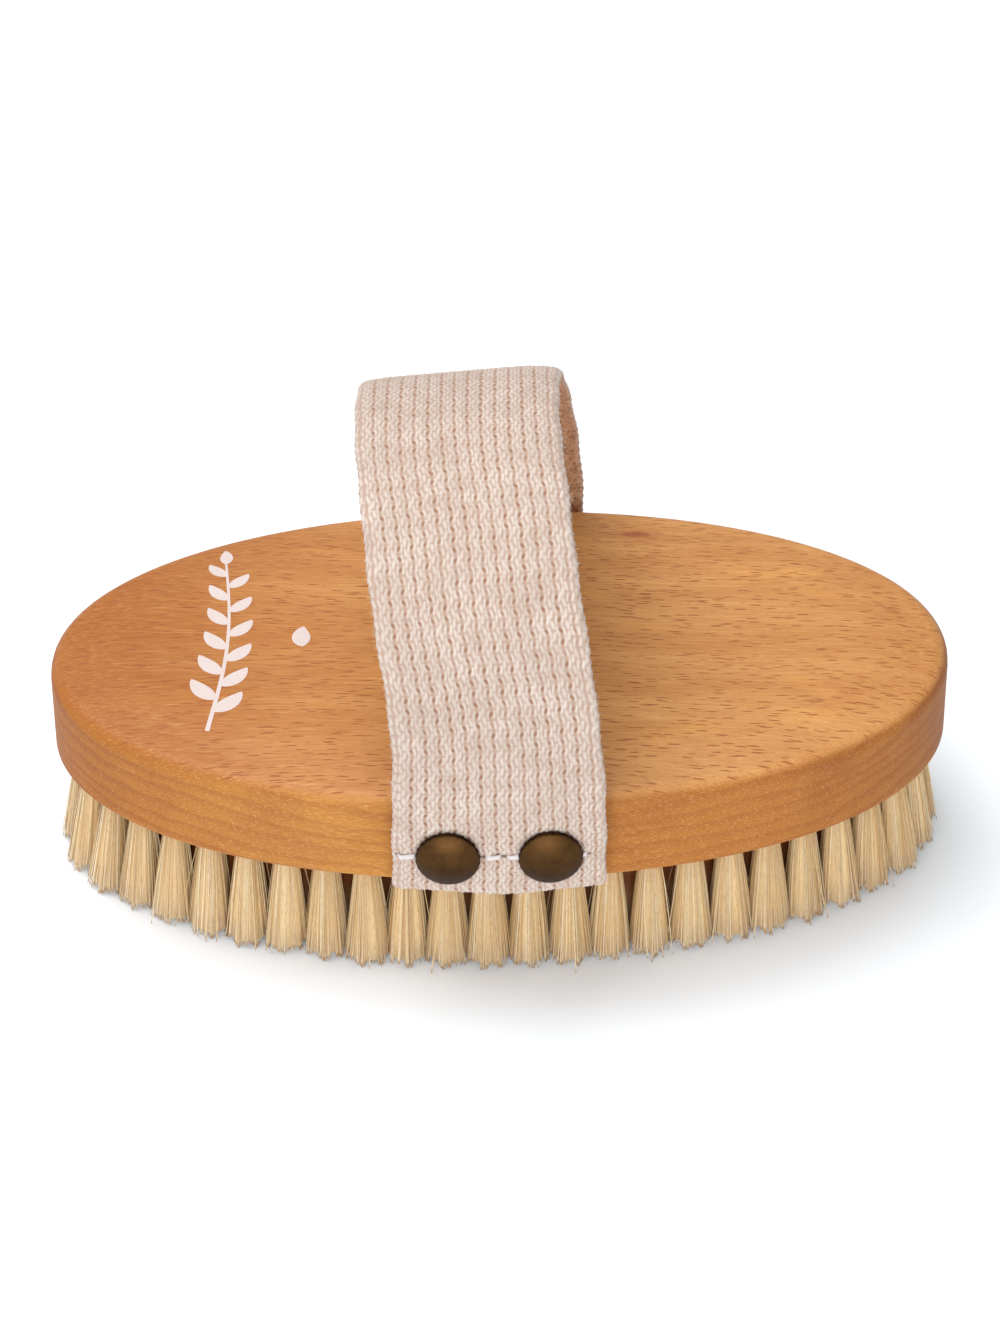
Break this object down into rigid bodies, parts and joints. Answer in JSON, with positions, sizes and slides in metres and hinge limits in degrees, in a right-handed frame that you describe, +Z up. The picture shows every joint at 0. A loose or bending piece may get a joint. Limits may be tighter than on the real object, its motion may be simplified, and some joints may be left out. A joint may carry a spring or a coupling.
{
  "type": "body dry brush",
  "caption": "Oval palm brush for dry brushing skin: wooden block with short stiff fibre tufts and a webbing hand strap nailed over the top.",
  "frame": {"origin": "on the floor plane of the bristle tips, under the middle of the block", "axes": "+X along the oval, -Y towards the front nails, +Z up through the block and the strap"},
  "size_m": [0.135, 0.0852, 0.0789],
  "materials": {
    "beech": "satin",
    "plant_fibre": "satin",
    "webbing": "matte",
    "thread": "matte",
    "antique_brass": "satin",
    "steel": "satin"
  },
  "bodies": {
    "root": {"brush_block": "beech", "strap_front_tab": "webbing", "strap_rear_tab": "webbing", "front_hem_stitches": "thread", "rear_hem_stitches": "thread", "front_nail_caps": "antique_brass", "rear_nail_caps": "antique_brass", "front_nail_pins": "steel", "rear_nail_pins": "steel", "outer_ring_tufts": "plant_fibre", "outer_ring_anchors": "steel", "second_ring_tufts": "plant_fibre", "second_ring_anchors": "steel", "third_ring_tufts": "plant_fibre", "third_ring_anchors": "steel", "fourth_ring_tufts": "plant_fibre", "fourth_ring_anchors": "steel", "fifth_ring_tufts": "plant_fibre", "fifth_ring_anchors": "steel", "centre_row_tufts": "plant_fibre", "centre_row_anchors": "steel"},
    "strap_loop": {"strap_loop": "webbing"}
  },
  "joints": [
    {"name": "strap_lean", "type": "hinge", "parent": "root", "child": "strap_loop", "pos_m": [-0.0012, 0, 0.0333], "axis": [0, 1, 0], "range_deg": [-15, 29], "stiffness_Nm_per_rad": 0.02}
  ]
}
